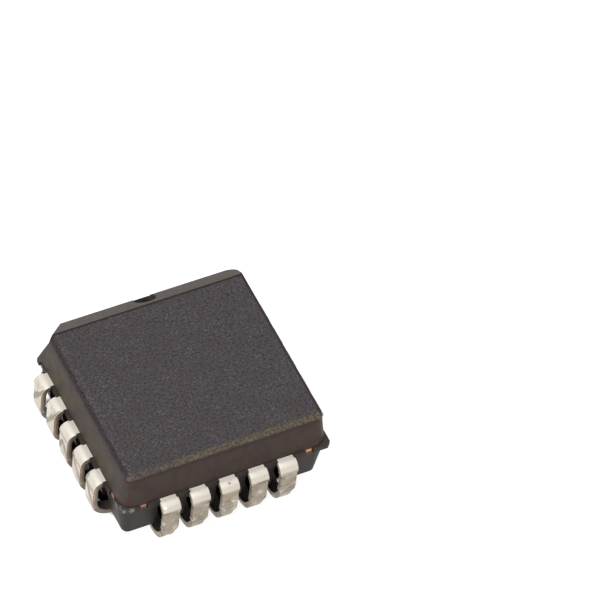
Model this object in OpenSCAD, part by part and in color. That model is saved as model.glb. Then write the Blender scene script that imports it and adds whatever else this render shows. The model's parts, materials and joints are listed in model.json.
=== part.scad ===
// Display driver chip in a square plastic carrier with twenty J-shaped leads.
// It stands on its leads: z = 0 is the seating plane and the Z axis is the middle of the package.
// X runs along the front edge, and the bevelled pin 1 edge faces +Y.

/* [Package] */
// Width of the body at the parting line, the same both ways
body_w = 8.93; // [8.89:0.01:9.04]
// Width over the outer faces of opposite leads
overall_w = 10.02; // [9.85:0.01:10.1]
// Height of the top face above the seating plane
top_h = 4.5; // [4.3:0.01:4.57]
// Height of the underside of the body above the seating plane
standoff_h = 0.82; // [0.6:0.01:0.89]
// Height of the underside of the lead frame above the seating plane
frame_h = 2.64; // [2.5:0.01:2.75]

/* [Moulded body] */
// Lean of the upper walls
upper_draft = 7.5; // [4:0.5:9]
// Lean of the lower walls
lower_draft = 9; // [4:0.5:10]
// Radius of the upright corners at the parting line
corner_r = 0.55; // [0.5:0.05:0.65]
// Rounding of the edge of the top face
top_edge_r = 0.12; // [0.05:0.01:0.16]
// Rounding of the edge of the underside at the corner blocks
block_edge_r = 0.16; // [0.05:0.01:0.2]
// Rounding of the lower outer edge of the ribs between the leads
rib_edge_r = 0.34; // [0.2:0.02:0.4]
// Leg of the chamfer at the pin 1 corner of both halves, measured at the parting line
chamfer_leg = 1.14; // [1.02:0.01:1.27]
// Run of the bevel along the pin 1 edge of the top face
bevel_run = 0.83; // [0.6:0.01:1]
// Drop of that bevel down the wall
bevel_drop = 0.78; // [0.6:0.01:0.9]
// Radius of the index notch in the bevel
notch_r = 0.45; // [0.35:0.01:0.5]
// Distance from the foot of the bevel to the middle of the index notch
notch_in = 0.25; // [0.1:0.05:0.3]
// How far the floor of the notch lies below the foot of the bevel
notch_step = 0.05; // [0.02:0.01:0.1]
// Distance of the index notch from the middle of the edge, towards the back right corner
notch_shift = 0.28; // [0:0.02:0.4]
// Radius of the moulded circle in the underside
mark_r = 1.6; // [1.4:0.05:1.7]
// Width of the groove of that circle
mark_w = 0.12; // [0.08:0.01:0.2]
// Depth of that groove
mark_d = 0.06; // [0.03:0.01:0.1]
// Radius of the ejector disc inside the circle
disc_r = 0.95; // [0.7:0.05:1.1]
// Depth of the ejector disc
disc_d = 0.05; // [0.03:0.01:0.1]
// Length of the scar on the pin 1 chamfer where the mould's gate was broken off
gate_l = 1.0; // [0.6:0.05:1]
// Height of the gate scar
gate_h = 0.12; // [0.08:0.01:0.2]
// How far the gate scar stands out of the lower chamfer
gate_out = 0.22; // [0.1:0.01:0.28]

/* [Parting flange] */
// How far the flange stands out between the leads
web_out = 0.1; // [0.06:0.01:0.14]
// How far the ears at the corners stand out
ear_out = 0.08; // [0.05:0.01:0.12]
// Leg of the cut across the tip of an ear
ear_cut = 0.13; // [0.1:0.01:0.3]
// How far the skew cut at the pin 1 corner starts from the left edge's end
pin_1_cut = 0.86; // [0.8:0.01:0.95]
// Radius of the worn ear at the front left corner
ear_r = 0.5; // [0.3:0.02:0.6]
// Gap between the cut end of a tie bar and the flange beside it
ear_gap = 0.05; // [0.03:0.01:0.1]

/* [Lead sockets] */
// Width of the groove behind a lead and of the pocket over its tip
slot_w = 0.72; // [0.6:0.01:0.78]
// Depth of the groove behind a lead, measured from the wall at the parting line
groove_d = 0.32; // [0.25:0.01:0.4]
// Distance from the middle of the package to the inner wall of a pocket
pocket_u = 2.6; // [2.5:0.02:2.7]
// Height of the roof of a pocket above the underside, at its inner wall
pocket_h = 0.7; // [0.6:0.05:0.9]
// Further rise of the roof where it reaches the groove
pocket_rise = 0.6; // [0.4:0.05:0.8]

/* [Leads] */
// Spacing of the leads
pitch = 1.27; // [1.2:0.01:1.3]
// Thickness of the lead frame
lead_t = 0.25; // [0.2:0.01:0.3]
// Width of a lead where it leaves the body
lead_w = 0.68; // [0.66:0.01:0.74]
// Width of a lead below its neck
foot_w = 0.47; // [0.4:0.01:0.53]
// Height above the seating plane at which the neck starts to narrow
neck_h = 1.33; // [1.1:0.01:1.6]
// Height over which the neck narrows
neck_l = 0.25; // [0.1:0.01:0.4]
// How far the cut stub of the dam bar stands out at each side of a lead
stub_out = 0.05; // [0.03:0.01:0.07]
// Distance from the top of a lead to the lower end of the stub
stub_l = 0.46; // [0.42:0.02:0.6]
// Gap between the flange and the stub
stub_gap = 0.03; // [0.02:0.01:0.06]
// Inside radius of the bend at the shoulder
shoulder_r = 0.14; // [0.1:0.02:0.2]
// Outside radius of the slow curve from the shank into the J
knee_r = 2.2; // [1.8:0.05:2.3]
// Outside radius of the J
j_r = 0.95; // [0.8:0.01:1]
// Length of the straight tip after the J
tip_l = 0.4; // [0.2:0.02:0.44]
// Radius of the bite that the trimming punch leaves in the tip
bite_r = 0.2; // [0.15:0.01:0.24]
// Depth of that bite
bite_d = 0.06; // [0.03:0.01:0.1]
// How far wear has pushed up the J of each lead on the left, from the back one to the front one
pushed_up = [0.2, 0.5, 0, 0.26, 0.44]; // [0:0.02:0.5]
// By how much the radius of the slow curve shrinks for each millimetre that a J is pushed up
bulge = 2; // [1.5:0.1:2.2]

/* [Lead frame inside the body] */
// Width of the inner end of a lead finger
finger_w = 0.34; // [0.25:0.01:0.4]
// Width of the fan of finger ends, as a share of the pitch
finger_fan = 0.56; // [0.5:0.01:0.6]
// Gap between the die paddle and the finger ends
finger_gap = 0.35; // [0.25:0.05:0.5]
// Length of a finger that stays straight behind the wall
finger_straight = 0.75; // [0.6:0.05:0.9]
// Width of the square die paddle
paddle_w = 3.3; // [3:0.05:3.5]
// How far the paddle lies below the fingers
paddle_drop = 0.2; // [0.15:0.01:0.25]
// Width of the tie bars that hold the paddle
tie_w = 0.24; // [0.2:0.01:0.28]
// Level length of a tie bar beside the paddle
tie_level = 0.2; // [0.1:0.02:0.3]
// Run over which a tie bar climbs from the paddle to the fingers
tie_climb = 0.4; // [0.3:0.02:0.6]
// Distance from the middle of the package at which the tie bars fork, along both axes
tie_fork = 3.15; // [3:0.05:3.3]
// Distance of the cut ends of a tie bar from the middle of the side
tie_end = 3.58; // [3.5:0.01:3.65]
// The same distance at the chamfered corner
tie_end_gate = 3.28; // [3.25:0.01:3.3]
// How far the cut ends of a tie bar stand out of the wall
tie_out = 0.03; // [0.01:0.01:0.08]

/* [Die and wires] */
// Length of the silicon die
die_l = 2.5; // [2.3:0.05:2.8]
// Width of the silicon die
die_w = 2.2; // [2.1:0.05:2.6]
// Thickness of the silicon die
die_t = 0.3; // [0.2:0.01:0.4]
// Thickness of the silver-filled glue under the die
glue_t = 0.04; // [0.02:0.01:0.06]
// Width of the glue that shows round the die
glue_out = 0.08; // [0.04:0.01:0.12]
// Spacing of the bond pads along an edge of the die
pad_pitch = 0.4; // [0.3:0.02:0.44]
// Distance of the bond pads from the edge of the die
pad_in = 0.14; // [0.1:0.01:0.2]
// Diameter of the gold wire
wire_d = 0.034; // [0.025:0.001:0.04]
// Diameter of the ball bond on the die
ball_d = 0.09; // [0.07:0.01:0.1]
// Height of the ball bond
ball_h = 0.03; // [0.02:0.005:0.04]
// Height of a wire's straight rise above the die
wire_rise = 0.12; // [0.08:0.01:0.2]
// Radius of the tight bend at the top of a wire's rise
wire_r = 0.1; // [0.08:0.01:0.14]
// Distance of the wedge bond from the finger's end
wedge_in = 0.2; // [0.15:0.01:0.3]
// Length of the wedge bond
wedge_l = 0.12; // [0.1:0.01:0.14]
// Width of the wedge bond
wedge_w = 0.07; // [0.06:0.005:0.09]
// Height of the wedge bond
wedge_h = 0.045; // [0.045:0.001:0.06]

/* [Hidden] */
$fn = 64;
WIRE_FACETS = 24;
SIDES = 4;
LEADS_PER_SIDE = 5;
LEADS = SIDES * LEADS_PER_SIDE;
// Sides run anticlockwise from the pin 1 side, seen from above, and each corner follows its side
PIN_1_SIDE = 0;
LEFT_SIDE = 1;
PIN_1_CORNER = 0;
FRONT_LEFT_CORNER = 1;
// Share of its radius by which an edge rounding runs out over the wall, to meet it in a true edge
RUN_OUT = 0.02;
// The strip turns by the angles of a 3-4-5 triangle, first in the slow curve and then past the
// lowest point of the J
knee_turn = atan2(3, 4);
j_turn = atan2(4, 3);
// A wire falls to its finger through the same angle
fall_turn = atan2(4, 3);
half_w = body_w / 2;
frame_top = frame_h + lead_t;
row_half = (LEADS_PER_SIDE - 1) / 2 * pitch;
// Side view of a lead: its outer face, and the middle of the shoulder
lead_face = overall_w / 2;
bend_r = shoulder_r + lead_t;
bend_u = lead_face - bend_r;
// Inner end of a finger, and where its straight part starts behind the wall
finger_end = paddle_w / 2 + finger_gap;
finger_root = half_w - finger_straight;
// Undersides of the paddle, the glue and the die, and the top of the die
paddle_z = frame_h - paddle_drop;
glue_z = paddle_z + lead_t;
die_z = glue_z + glue_t;
die_top = die_z + die_t;
// Where the wedge bonds lie, and the height of a wire's axis there
wedge_u = finger_end + wedge_in;
wedge_z = frame_top + wedge_h / 2;
// Length that a cut runs past the face that it opens
over = 0.5;

function two_digits(n) = n < 10 ? str("0", n) : str(n);
lead_names = [for (n = [1:LEADS]) str("lead_", two_digits(n))];
wire_names = [for (n = [1:LEADS]) str("bond_wire_", two_digits(n))];

// Pin 1 is the middle lead of the +Y side and the count runs anticlockwise
function seat(n) = (n + floor(LEADS_PER_SIDE / 2) - 1) % LEADS;
function side_of(n) = floor(seat(n) / LEADS_PER_SIDE);
function place_of(n) = seat(n) % LEADS_PER_SIDE - (LEADS_PER_SIDE - 1) / 2;
function offset_of(n) = place_of(n) * pitch;
function direction(angle) = [cos(angle), sin(angle)];
function microns(length) = round(length * 1000) / 1000;

// How far the J of lead n is pushed up, and from that its slow curve and the middle of its turn
function lift_of(n) = side_of(n) == LEFT_SIDE ? pushed_up[seat(n) % LEADS_PER_SIDE] : 0;
function slow_r(lift) = knee_r - bulge * lift;
function turn_u(lift) = lead_face - slow_r(lift) + (slow_r(lift) - j_r) * cos(knee_turn);
function turn_z(lift) = j_r + lift;

// Turns +X outwards to the given side of the package
module on_side(side) {
    rotate([0, 0, 90 * (side + 1)]) children();
}

// Draws a (distance from the middle, height) profile and extrudes it across a side
module across(width) {
    rotate([90, 0, 0]) linear_extrude(height = width, center = true) children();
}

// Draws a (distance along a side, height) outline and extrudes it outwards from the middle
module outwards(reach) {
    rotate([90, 0, 90]) linear_extrude(height = reach) children();
}

// Leaning wall of a half of the body in section, as thick at its foot as the corners' radius
module wall_section(height, draft, edge_r) {
    difference() {
        polygon([[0, 0], [corner_r, 0], [corner_r - height * tan(draft), height], [0, height]]);
        edge_cut(height, draft, edge_r);
    }
}

// What the rounding of a wall's upper edge takes away, in the place of that section
module edge_cut(height, draft, edge_r) {
    mid = corner_r - height * tan(draft) - edge_r * (tan(45 - draft / 2) - RUN_OUT);
    translate([mid, height - edge_r]) difference() {
        square(edge_r + over);
        circle(r = edge_r);
    }
}

// A drafted square half of the body standing on z = 0, its corners tapering as true cones
module drafted_half(foot, height, draft, edge_r) {
    core = foot - corner_r;
    translate([-core, -core, 0]) cube([2 * core, 2 * core, height]);
    for (side = [0:SIDES - 1]) on_side(side) translate([core, 0, 0]) {
        across(2 * core) wall_section(height, draft, edge_r);
        translate([0, core, 0]) rotate_extrude(angle = 90) wall_section(height, draft, edge_r);
    }
}

// Removes the pin 1 corner with a plane that leans as the walls do
module pin_1_chamfer(foot, height, draft) {
    plane_u = (2 * foot - chamfer_leg) / sqrt(2);
    rotate([0, 0, 135]) translate([plane_u, 0, 0]) rotate([0, -draft, 0])
        translate([0, -foot, -over]) cube([foot, 2 * foot, height + 2 * over]);
}

// Upper half: drafted walls, the bevelled pin 1 edge and its index notch
module upper_half() {
    height = top_h - frame_top;
    crest = half_w - height * tan(upper_draft);
    foot_u = half_w - (height - bevel_drop) * tan(upper_draft);
    translate([0, 0, frame_top]) difference() {
        drafted_half(half_w, height, upper_draft, top_edge_r);
        pin_1_chamfer(half_w, height, upper_draft);
        on_side(PIN_1_SIDE) {
            across(body_w) polygon([
                [crest - bevel_run, height],
                [foot_u, height - bevel_drop],
                [foot_u + over, height - bevel_drop],
                [foot_u + over, height + over],
                [crest - bevel_run, height + over]
            ]);
            translate([foot_u - notch_in, -notch_shift, height - bevel_drop - notch_step])
                cylinder(r = notch_r, h = bevel_drop + notch_step + over);
        }
    }
}

// Lower half: drafted block on the underside of the lead frame, hanging down to the stand-off
module lower_half() {
    height = frame_h - standoff_h;
    translate([0, 0, frame_h]) mirror([0, 0, 1]) difference() {
        drafted_half(half_w, height, lower_draft, block_edge_r);
        pin_1_chamfer(half_w, height, lower_draft);
        // The ribs of each side have a softer edge, from its first groove to its last
        for (side = [0:SIDES - 1]) on_side(side) translate([half_w - corner_r, 0, 0])
            across(2 * row_half + slot_w) edge_cut(height, lower_draft, rib_edge_r);
    }
}

// Distance of a tie bar's cut ends from the middle of the sides, at one corner
function tie_place(corner) = corner == PIN_1_CORNER ? tie_end_gate : tie_end;

// Where the webs of a side stop short of a tie bar, and where the ear beyond it starts
function web_end(corner) = tie_place(corner) - tie_w / 2 - ear_gap;
function ear_start(corner) = tie_place(corner) + tie_w / 2 + ear_gap;

// Ear of the flange at one corner, between the cut ends of the tie bar
module ear_outline(corner, cut) {
    start = ear_start(corner);
    edge = half_w + ear_out;
    polygon([
        [0, 0], [start, half_w], [start + ear_out / 2, edge],
        [edge - cut, edge], [edge, edge - cut],
        [edge, start + ear_out / 2], [half_w, start]
    ]);
}

// Flange at the pin 1 corner, where the gate broke off on a skew line down to the back wall
module gate_ear_outline(corner) {
    start = ear_start(corner);
    edge = half_w + ear_out;
    polygon([
        [0, 0], [start, half_w], [start + ear_out / 2, edge],
        [edge - pin_1_cut, edge], [half_w, start]
    ]);
}

// The ear whose tip wear has rounded
module worn_ear_outline(corner) {
    edge = half_w + ear_out;
    intersection() {
        ear_outline(corner, 0);
        union() {
            square([edge - ear_r, edge]);
            square([edge, edge - ear_r]);
            translate([edge - ear_r, edge - ear_r]) circle(r = ear_r);
        }
    }
}

// Flange along one side: the edge behind the leads and the webs between them
module side_outline(side) {
    before = (side + SIDES - 1) % SIDES;
    translate([0, -ear_start(before)]) square([half_w, ear_start(before) + ear_start(side)]);
    difference() {
        translate([0, -web_end(before)]) square([half_w + web_out, web_end(before) + web_end(side)]);
        for (place = [0:LEADS_PER_SIDE - 1])
            translate([half_w, place * pitch - row_half - lead_w / 2])
                square([web_out + over, lead_w]);
    }
}

// Flange at the parting line, as thick as the lead frame
module flange() {
    translate([0, 0, frame_h]) linear_extrude(height = lead_t)
        for (side = [0:SIDES - 1]) on_side(side) {
            side_outline(side);
            if (side == FRONT_LEFT_CORNER) worn_ear_outline(side);
            else if (side == PIN_1_CORNER) gate_ear_outline(side);
            else ear_outline(side, ear_cut);
        }
}

// Stub of compound that is left where the mould's gate was broken off
module gate_scar() {
    face_u = (2 * half_w - chamfer_leg) / sqrt(2);
    rotate([0, 0, 135]) translate([face_u - over, -gate_l / 2, frame_h - gate_h])
        cube([over + gate_out, gate_l, gate_h]);
}

// Groove behind a lead and the pocket in the underside that its tip turns into
module lead_socket() {
    groove_u = half_w - groove_d;
    across(slot_w) polygon([
        [pocket_u, standoff_h - over],
        [pocket_u, standoff_h + pocket_h],
        [groove_u, standoff_h + pocket_h + pocket_rise],
        [groove_u, frame_h],
        [lead_face, frame_h],
        [lead_face, standoff_h - over]
    ]);
}

// Moulded circle in the underside, round a shallow ejector disc
module underside_mark() {
    translate([0, 0, standoff_h - over]) {
        difference() {
            cylinder(r = mark_r, h = over + mark_d);
            cylinder(r = mark_r - mark_w, h = over + mark_d);
        }
        cylinder(r = disc_r, h = over + disc_d);
    }
}

// The whole moulding, before the lead frame, die and wires leave their shapes in it
module moulding() {
    difference() {
        union() {
            upper_half();
            flange();
            lower_half();
            gate_scar();
        }
        for (n = [1:LEADS]) on_side(side_of(n)) translate([0, offset_of(n), 0]) lead_socket();
        underside_mark();
    }
}

// Curved stretch of the strip in side view, from one angle to a larger one
module arc_strip(r, from, to) {
    difference() {
        intersection() {
            circle(r = r);
            polygon([
                [0, 0], 2 * r * direction(from),
                2 * r * direction((from + to) / 2), 2 * r * direction(to)
            ]);
        }
        circle(r = r - lead_t);
    }
}

// Side view of a lead outside the body: shoulder, shank, slow curve, J and straight tip
module j_profile(lift) {
    knee_z = turn_z(lift) + (slow_r(lift) - j_r) * sin(knee_turn);
    translate([bend_u, frame_top - bend_r]) arc_strip(bend_r, 0, 90);
    translate([lead_face - lead_t, knee_z]) square([lead_t, frame_top - bend_r - knee_z]);
    translate([lead_face - slow_r(lift), knee_z]) arc_strip(slow_r(lift), -knee_turn, 0);
    translate([turn_u(lift), turn_z(lift)]) {
        arc_strip(j_r, -90 - j_turn, -knee_turn);
        rotate(-90 - j_turn) translate([j_r - lead_t, -tip_l]) square([lead_t, tip_l]);
    }
}

// Front view of a lead outside the body, wide above its neck and narrow below
module lead_front() {
    polygon([
        [-lead_w / 2, frame_top], [-lead_w / 2, neck_h], [-foot_w / 2, neck_h - neck_l],
        [-foot_w / 2, 0],
        [foot_w / 2, 0],
        [foot_w / 2, neck_h - neck_l], [lead_w / 2, neck_h], [lead_w / 2, frame_top]
    ]);
}

// Everything of a lead outside the shoulder's start, with the stubs of the dam bar
module lead_outside(lift) {
    foot_u = turn_u(lift);
    stub_u = half_w + web_out + stub_gap;
    stub_w = lead_w + 2 * stub_out;
    difference() {
        intersection() {
            across(stub_w) j_profile(lift);
            union() {
                translate([foot_u, 0, 0]) outwards(lead_face - foot_u) lead_front();
                across(foot_w) square([foot_u, frame_h]);
                translate([stub_u, -stub_w / 2, frame_top - stub_l])
                    cube([lead_face - stub_u, stub_w, stub_l]);
            }
        }
        tip_bite(lift);
    }
}

// The round bite in the middle of the cut tip
module tip_bite(lift) {
    translate([turn_u(lift), 0, turn_z(lift)]) rotate([0, 90 + j_turn, 0])
        translate([j_r - lead_t - over, 0, -tip_l - bite_r + bite_d])
            rotate([0, 90, 0]) cylinder(r = bite_r, h = lead_t + 2 * over);
}

// Flat finger of a lead inside the body, fanning in from the wall towards the die
module finger(offset) {
    inner = offset * finger_fan;
    translate([0, 0, frame_h]) linear_extrude(height = lead_t) polygon([
        [bend_u, offset - lead_w / 2],
        [bend_u, offset + lead_w / 2],
        [finger_root, offset + lead_w / 2],
        [finger_end, inner + finger_w / 2],
        [finger_end, inner - finger_w / 2],
        [finger_root, offset - lead_w / 2]
    ]);
}

module lead(n) {
    color([0.85, 0.82, 0.76]) on_side(side_of(n)) {
        finger(offset_of(n));
        translate([0, offset_of(n), 0]) lead_outside(lift_of(n));
    }
}

// Tie bar at one corner: its outline in plan, cut to the profile that climbs to the fingers
module tie_bar(corner) {
    level_d = paddle_w / sqrt(2) + tie_level;
    climb_d = level_d + tie_climb;
    intersection() {
        tie_plan(tie_place(corner));
        rotate([0, 0, 45]) across(body_w) polygon([
            [0, paddle_z], [level_d, paddle_z], [climb_d, frame_h], [body_w, frame_h],
            [body_w, frame_top], [climb_d, frame_top], [level_d, glue_z], [0, glue_z]
        ]);
    }
}

// A tie bar's outline, drawn through all heights: the bar on the diagonal and its two arms
module tie_plan(end) {
    start_d = paddle_w / sqrt(2) - tie_w;
    fork_d = tie_fork * sqrt(2) + tie_w;
    translate([0, 0, paddle_z - over]) {
        rotate([0, 0, 45]) translate([start_d, -tie_w / 2, 0])
            cube([fork_d - start_d, tie_w, paddle_drop + lead_t + 2 * over]);
        fork_arm(end);
        mirror([1, -1, 0]) fork_arm(end);
    }
}

// One arm of a fork, whose cut end stands out of the wall on the +X side
module fork_arm(end) {
    tip_u = half_w + tie_out;
    knee = half_w - finger_straight / 2;
    linear_extrude(height = paddle_drop + lead_t + 2 * over) polygon([
        [tie_fork - tie_w / 2, tie_fork - tie_w / 2],
        [knee, end - tie_w / 2],
        [tip_u, end - tie_w / 2],
        [tip_u, end + tie_w / 2],
        [knee, end + tie_w / 2],
        [tie_fork, tie_fork + tie_w / 2]
    ]);
}

module die_paddle() {
    color([0.82, 0.52, 0.3]) {
        translate([-paddle_w / 2, -paddle_w / 2, paddle_z]) cube([paddle_w, paddle_w, lead_t]);
        for (corner = [0:SIDES - 1]) on_side(corner) tie_bar(corner);
    }
}

module die_attach() {
    length = die_l + 2 * glue_out;
    width = die_w + 2 * glue_out;
    color([0.72, 0.72, 0.74])
        translate([-length / 2, -width / 2, glue_z]) cube([length, width, glue_t]);
}

module driver_die() {
    color([0.36, 0.4, 0.46])
        translate([-die_l / 2, -die_w / 2, die_z]) cube([die_l, die_w, die_t]);
}

// Wire from a pad of the die to its finger: ball, rise, tight bend, level run, fall and wedge
module bond_wire(n) {
    pad_u = (side_of(n) % 2 == 0 ? die_w : die_l) / 2 - pad_in;
    pad_v = place_of(n) * pad_pitch;
    spread = finger_fan + (1 - finger_fan) * wedge_in / (finger_root - finger_end);
    wedge_v = offset_of(n) * spread;
    run = microns(norm([wedge_u - pad_u, wedge_v - pad_v]));
    bend_z = die_top + wire_rise;
    crown_z = bend_z + wire_r;
    fall_r = microns((crown_z - wedge_z) / (1 - cos(fall_turn)));
    fall_start = run - fall_r * sin(fall_turn);
    color([0.93, 0.76, 0.3]) on_side(side_of(n)) translate([pad_u, pad_v, 0])
        rotate([0, 0, atan2(wedge_v - pad_v, wedge_u - pad_u)]) {
            translate([0, 0, die_top]) {
                cylinder(d = ball_d, h = ball_h, $fn = WIRE_FACETS);
                cylinder(d = wire_d, h = wire_rise, $fn = WIRE_FACETS);
            }
            translate([wire_r, 0, bend_z]) wire_bend(wire_r, 90, 90);
            translate([wire_r, 0, crown_z]) rotate([0, 90, 0])
                cylinder(d = wire_d, h = fall_start - wire_r, $fn = WIRE_FACETS);
            translate([fall_start, 0, crown_z - fall_r])
                wire_bend(fall_r, 90 - fall_turn, fall_turn);
            translate([run - wedge_l / 2, -wedge_w / 2, frame_top])
                cube([wedge_l, wedge_w, wedge_h]);
        }
}

// Bent stretch of wire in the XZ plane
module wire_bend(r, start, turn) {
    rotate([90, 0, 0]) rotate_extrude(angle = turn, start = start, $fn = WIRE_FACETS)
        translate([r, 0]) circle(d = wire_d);
}

module body() {
    color([0.2, 0.19, 0.2]) difference() {
        moulding();
        for (n = [1:LEADS]) lead(n);
        die_paddle();
        die_attach();
        driver_die();
        for (n = [1:LEADS]) bond_wire(n);
    }
}

body();
die_paddle();
die_attach();
driver_die();
for (n = [1:LEADS]) lead(n);
for (n = [1:LEADS]) bond_wire(n);
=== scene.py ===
"""Display driver chip: the finish of a twenty-lead J-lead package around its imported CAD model.

The CAD nodes give every shape. This script dresses the moulding, the formed leads and the pieces
sealed inside, adds the small things that moulding and trimming leave behind, and sets up a plain
studio with a camera at the photograph's angle. Sizes are in millimetres and are turned into
metres where they reach Blender.
"""

import json
import logging
import math
import random
from dataclasses import dataclass
from enum import Enum

import bmesh
import bpy
from mathutils import Matrix, Vector

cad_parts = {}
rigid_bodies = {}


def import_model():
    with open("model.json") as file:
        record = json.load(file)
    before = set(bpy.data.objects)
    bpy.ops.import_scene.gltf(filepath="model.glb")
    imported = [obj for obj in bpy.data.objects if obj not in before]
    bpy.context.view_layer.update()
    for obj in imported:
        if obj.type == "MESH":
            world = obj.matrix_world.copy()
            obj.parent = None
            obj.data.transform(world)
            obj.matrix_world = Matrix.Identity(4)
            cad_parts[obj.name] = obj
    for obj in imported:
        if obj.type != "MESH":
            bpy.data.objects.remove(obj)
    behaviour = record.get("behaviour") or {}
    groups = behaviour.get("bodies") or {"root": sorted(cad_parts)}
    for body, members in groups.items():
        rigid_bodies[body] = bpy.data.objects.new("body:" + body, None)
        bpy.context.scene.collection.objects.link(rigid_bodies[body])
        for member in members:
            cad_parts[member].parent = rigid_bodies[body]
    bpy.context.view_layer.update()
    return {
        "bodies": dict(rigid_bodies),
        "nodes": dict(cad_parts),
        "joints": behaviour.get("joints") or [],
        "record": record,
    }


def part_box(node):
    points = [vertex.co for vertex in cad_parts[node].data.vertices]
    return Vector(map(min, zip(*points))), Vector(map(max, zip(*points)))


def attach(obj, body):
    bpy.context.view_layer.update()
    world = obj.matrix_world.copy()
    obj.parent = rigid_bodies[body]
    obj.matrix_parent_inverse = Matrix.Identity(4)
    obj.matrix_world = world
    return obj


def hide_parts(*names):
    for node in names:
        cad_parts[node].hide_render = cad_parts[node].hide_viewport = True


MM = 0.001
ROOT_BODY = "root"
LEADS = 20
LEADS_PER_SIDE = 5
PITCH = 1.27
LEAD_HALF_WIDTH = 0.34
LEAD_THICKNESS = 0.25
FLANGE_OUT = 0.1
log = logging.getLogger("driver_chip")

Colour = tuple[float, float, float]
Point = tuple[float, float, float]
# The two ends of a smooth step, a zone or a range of random sizes
Band = tuple[float, float]


def ink(red: int, green: int, blue: int) -> Colour:
    """A display colour of 0 to 255 a channel as the linear values that shaders take."""

    def linear(channel: int) -> float:
        """One channel without its display curve."""
        share = channel / 255
        return share / 12.92 if share <= 0.04045 else ((share + 0.055) / 1.055) ** 2.4

    return linear(red), linear(green), linear(blue)


def frame_level() -> float:
    """Height of the top of the lead frame in millimetres."""
    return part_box("lead_01")[1].z / MM


def paint_node(piece: bpy.types.Object, material: bpy.types.Material) -> None:
    """Puts one material on a whole piece."""
    piece.data.materials.clear()
    piece.data.materials.append(material)


def new_object(name: str, data: bpy.types.ID) -> bpy.types.Object:
    """Puts a mesh, a lamp or a camera into the scene."""
    made = bpy.data.objects.new(name, data)
    bpy.context.scene.collection.objects.link(made)
    return made


def new_piece(name: str, shape: bmesh.types.BMesh,
              material: bpy.types.Material) -> bpy.types.Object:
    """Makes an object of one material.

    Args:
        name: Its name.
        shape: Its mesh in metres; it is freed here.
        material: Its material.

    Returns:
        The object.
    """
    mesh = bpy.data.meshes.new(name)
    shape.to_mesh(mesh)
    shape.free()
    piece = new_object(name, mesh)
    paint_node(piece, material)
    return piece


class Side(Enum):
    """A side of the package by the direction that its leads stand out in."""

    BACK = (0, 1)
    LEFT = (-1, 0)
    FRONT = (0, -1)
    RIGHT = (1, 0)

    @property
    def turn(self) -> Matrix:
        """Turn that brings the right-hand side to this one."""
        return Matrix.Rotation(math.atan2(self.value[1], self.value[0]), 4, "Z")


class Value:
    """A number that runs through a material's nodes, so that shader maths reads as Python."""

    def __init__(self, paint: "Paint", socket: bpy.types.NodeSocket) -> None:
        """Wraps the output socket of a node of one paint."""
        self.paint = paint
        self.socket = socket

    def _math(self, operation: str, *terms: "Value | float") -> "Value":
        """Adds one Math node and returns its result."""
        settings = {"operation": operation}
        return self.paint.value("ShaderNodeMath", settings, dict(enumerate(terms)))

    def __add__(self, other: "Value | float") -> "Value":
        """self + other."""
        return self._math("ADD", self, other)

    __radd__ = __add__

    def __sub__(self, other: "Value | float") -> "Value":
        """self - other."""
        return self._math("SUBTRACT", self, other)

    def __rsub__(self, other: "Value | float") -> "Value":
        """other - self."""
        return self._math("SUBTRACT", other, self)

    def __mul__(self, other: "Value | float") -> "Value":
        """self * other."""
        return self._math("MULTIPLY", self, other)

    __rmul__ = __mul__

    def __truediv__(self, other: "Value | float") -> "Value":
        """self / other."""
        return self._math("DIVIDE", self, other)

    def __pow__(self, other: float) -> "Value":
        """self to a power."""
        return self._math("POWER", self, other)

    def __abs__(self) -> "Value":
        """Distance from nought."""
        return self._math("ABSOLUTE", self)

    def most(self, other: "Value | float") -> "Value":
        """The larger of two values."""
        return self._math("MAXIMUM", self, other)

    def least(self, other: "Value | float") -> "Value":
        """The smaller of two values."""
        return self._math("MINIMUM", self, other)

    def root(self) -> "Value":
        """Square root."""
        return self._math("SQRT", self)

    def nearest(self) -> "Value":
        """The nearest whole number."""
        return self._math("ROUND", self)

    def sign(self) -> "Value":
        """-1 below nought and 1 above it."""
        return self._math("SIGN", self)

    def rise(self, low: float, high: float) -> "Value":
        """Smooth step: 0 below low, 1 above high; it falls where low is the larger."""
        start, end, flip = (low, high, False) if low < high else (high, low, True)
        settings = {"interpolation_type": "SMOOTHSTEP"}
        step = self.paint.value("ShaderNodeMapRange", settings,
                                {"Value": self, "From Min": start, "From Max": end})
        return 1.0 - step if flip else step

    def within(self, low: float, high: float, soft: float) -> "Value":
        """1 between low and high, falling to 0 over a width of soft outside them."""
        return self.rise(low - soft, low) * self.rise(high + soft, high)


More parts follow.
